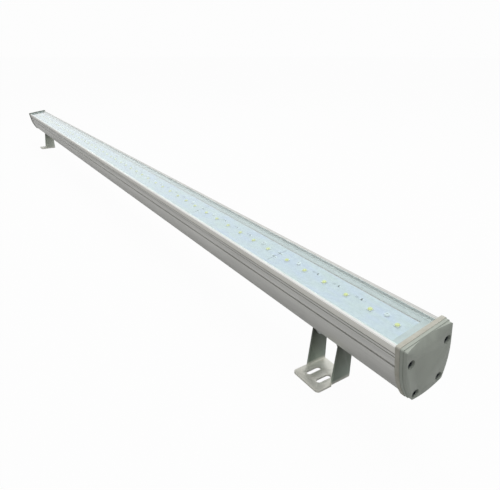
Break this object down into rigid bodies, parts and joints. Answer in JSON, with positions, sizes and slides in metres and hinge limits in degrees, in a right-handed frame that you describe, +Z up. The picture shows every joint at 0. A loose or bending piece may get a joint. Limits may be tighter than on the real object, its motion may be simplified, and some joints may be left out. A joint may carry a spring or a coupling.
{
  "type": "outdoor wall washer light",
  "caption": "Slim linear wall washer: a glazed aluminium bar with a row of lights, end caps and a cable gland, tilting and sliding on two folded sheet brackets.",
  "frame": {"origin": "middle of the whole light's box, on the surface that both feet stand on", "axes": "+X along the bar towards the plain end, +Y to the back, +Z up; the lit face looks up and leans towards -Y"},
  "size_m": [1.2144, 0.0422, 0.0844],
  "materials": {
    "anodised_aluminium": "satin silver anodised",
    "clear_glass": "clear tempered",
    "clear_silicone": "translucent",
    "white_board": "white solder mask, semi matt",
    "light_lens": "clear dome over yellow phosphor",
    "grey_silicone": "matt",
    "white_nylon": "moulded",
    "black_ceramic": "matt",
    "tinned_copper": "tinned",
    "red_wire": "extruded",
    "white_silicone": "poured",
    "gasket_rubber": "grey beige, matt",
    "painted_cap": "grey, semi gloss",
    "dark_steel": "dark",
    "white_plastic": "moulded",
    "green_board": "green solder mask",
    "yellow_tape": "taped winding",
    "capacitor_sleeve": "shrunk sleeve",
    "green_plastic": "moulded",
    "black_nylon": "moulded",
    "black_rubber": "matt",
    "zinc_steel": "zinc plated",
    "stainless_steel": "bright",
    "bright_sheet": "bright folded sheet"
  },
  "bodies": {
    "near_foot": {"near_bracket": "bright_sheet", "near_pivot_bolt": "stainless_steel", "near_pivot_washers": "stainless_steel", "near_pivot_nut": "stainless_steel"},
    "near_carrier": {"near_hanger": "zinc_steel", "near_hanger_screws": "stainless_steel", "near_nut_bar": "zinc_steel"},
    "bar": {"housing": "anodised_aluminium", "glass_cover": "clear_glass", "glass_seal": "clear_silicone", "light_boards_far": "white_board", "light_boards_middle": "white_board", "light_boards_near": "white_board", "lights_far": "light_lens", "lights_middle": "light_lens", "lights_near": "light_lens", "heat_pads": "grey_silicone", "board_screws": "white_nylon", "board_resistors": "black_ceramic", "board_links": "tinned_copper", "feed_wires": "red_wire", "near_end_dam": "white_silicone", "far_end_dam": "white_silicone", "near_gasket": "gasket_rubber", "far_gasket": "gasket_rubber", "near_end_cap": "painted_cap", "far_end_cap": "painted_cap", "near_cap_screws": "dark_steel", "far_cap_screws": "dark_steel", "driver_tray": "white_plastic", "driver_board": "green_board", "driver_transformer": "yellow_tape", "driver_capacitors": "capacitor_sleeve", "driver_choke": "black_ceramic", "supply_terminal": "green_plastic", "gland_body": "black_nylon", "gland_dome_nut": "black_nylon", "gland_insert": "black_rubber", "gland_washer": "black_rubber", "gland_lock_nut": "black_nylon"},
    "far_carrier": {"far_hanger": "zinc_steel", "far_hanger_screws": "stainless_steel", "far_nut_bar": "zinc_steel"},
    "far_foot": {"far_bracket": "bright_sheet", "far_pivot_bolt": "stainless_steel", "far_pivot_washers": "stainless_steel", "far_pivot_nut": "stainless_steel"}
  },
  "joints": [
    {"name": "near_tilt", "type": "hinge", "parent": "near_foot", "child": "near_carrier", "pos_m": [0.52725, 0.00595, 0.034], "axis": [1, 0, 0], "range_deg": [-90, 70]},
    {"name": "near_slide", "type": "slide", "parent": "near_carrier", "child": "bar", "axis": [1, 0, 0], "range_m": [-0.055, 0.4]},
    {"name": "far_slide", "type": "slide", "parent": "bar", "child": "far_carrier", "axis": [1, 0, 0], "range_m": [-0.055, 0.4]},
    {"name": "far_tilt", "type": "hinge", "parent": "far_carrier", "child": "far_foot", "pos_m": [-0.51275, 0.00595, 0.034], "axis": [1, 0, 0], "range_deg": [-70, 90]}
  ],
  "couplings": [
    {"joint": "far_tilt", "follows": "near_tilt", "ratio": -1}
  ]
}
